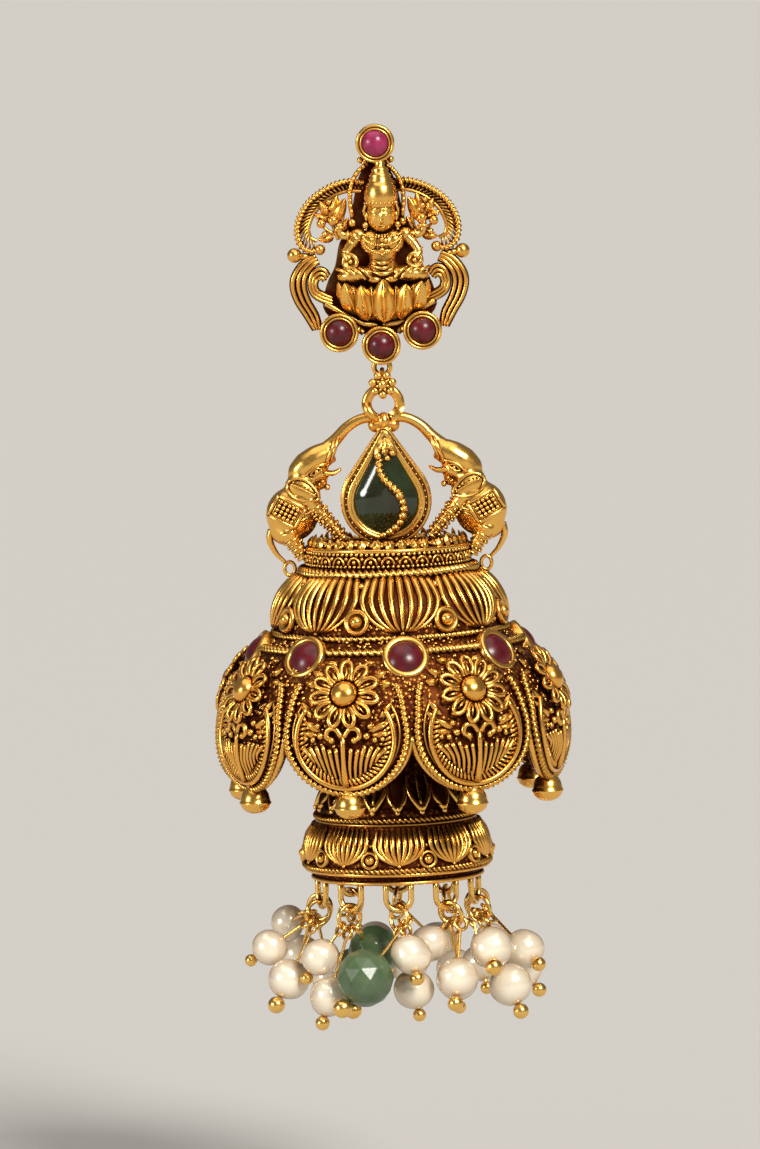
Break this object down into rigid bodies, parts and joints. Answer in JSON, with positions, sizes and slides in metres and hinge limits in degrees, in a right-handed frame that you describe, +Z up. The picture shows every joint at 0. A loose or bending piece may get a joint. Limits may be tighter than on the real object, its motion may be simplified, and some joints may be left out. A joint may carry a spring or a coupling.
{
  "type": "jhumka earring",
  "caption": "Hanging earring: post stud, flower link, pear stone between two elephants on a scalloped bell, and a smaller bell inside it with pearl and green bead dangles.",
  "frame": {"origin": "point on the stud's flat back where the ear post starts, on the earring's middle plane", "axes": "+Z up, with the drop hanging towards -Z; +Y from the stud's back towards the wearer's ear, along the post; +X to the right as seen from the front"},
  "size_m": [0.026, 0.026, 0.0687],
  "materials": {
    "antique_gold": "antique matte gold plating, dark in the recesses, bright on worn high points",
    "gold_wire": "plain polished gold-plated wire",
    "ruby": "dark wine-red cabochon, glossy",
    "dark_green_stone": "very dark green cabochon, glossy",
    "pearl": "cream pearl lustre",
    "green_bead": "milky green faceted glass"
  },
  "bodies": {
    "stud": {"stud_setting": "antique_gold", "ear_post": "gold_wire", "ruby_top": "ruby", "ruby_stud_left": "ruby", "ruby_stud_right": "ruby", "ruby_stud_low": "ruby"},
    "link": {"flower_link": "gold_wire"},
    "drop": {"pear_setting": "antique_gold", "elephant_left": "antique_gold", "elephant_right": "antique_gold", "pear_stone": "dark_green_stone", "bell": "antique_gold", "bell_ruby_1": "ruby", "bell_ruby_2": "ruby", "bell_ruby_3": "ruby", "bell_ruby_4": "ruby", "bell_ruby_5": "ruby", "bell_ruby_6": "ruby", "bell_ruby_7": "ruby", "bell_ruby_8": "ruby"},
    "hanging_ring": {"hanging_ring": "gold_wire"},
    "lower_bell": {"lower_bell": "antique_gold", "dangle_1": "gold_wire", "dangle_2": "gold_wire", "dangle_3": "gold_wire", "dangle_4": "gold_wire", "dangle_5": "gold_wire", "dangle_6": "gold_wire", "dangle_7": "gold_wire", "dangle_8": "gold_wire", "dangle_9": "gold_wire", "dangle_10": "gold_wire", "pearl_1": "pearl", "pearl_2": "pearl", "pearl_3": "pearl", "pearl_4": "pearl", "pearl_5": "pearl", "pearl_6": "pearl", "pearl_7": "pearl", "pearl_8": "pearl", "pearl_9": "pearl", "pearl_10": "pearl", "pearl_11": "pearl", "pearl_12": "pearl", "pearl_13": "pearl", "pearl_14": "pearl", "pearl_15": "pearl", "pearl_16": "pearl", "pearl_17": "pearl", "pearl_18": "pearl", "pearl_19": "pearl", "pearl_20": "pearl", "pearl_21": "pearl", "pearl_22": "pearl", "green_bead_1": "green_bead", "green_bead_2": "green_bead", "green_bead_3": "green_bead"}
  },
  "joints": [
    {"name": "link_swing", "type": "hinge", "parent": "stud", "child": "link", "pos_m": [0, -0.001, -0.00983], "axis": [1, 0, 0], "range_deg": [-20, 30]},
    {"name": "drop_sway", "type": "hinge", "parent": "link", "child": "drop", "pos_m": [0, -0.001, -0.01141], "axis": [0, 1, 0], "range_deg": [-30, 30]},
    {"name": "ring_tilt", "type": "hinge", "parent": "drop", "child": "hanging_ring", "pos_m": [0, -0.001, -0.025], "axis": [1, 0, 0], "range_deg": [-8, 8]},
    {"name": "lower_bell_sway", "type": "hinge", "parent": "hanging_ring", "child": "lower_bell", "pos_m": [0, -0.001, -0.02701], "axis": [0, 1, 0], "range_deg": [-8, 8]}
  ]
}
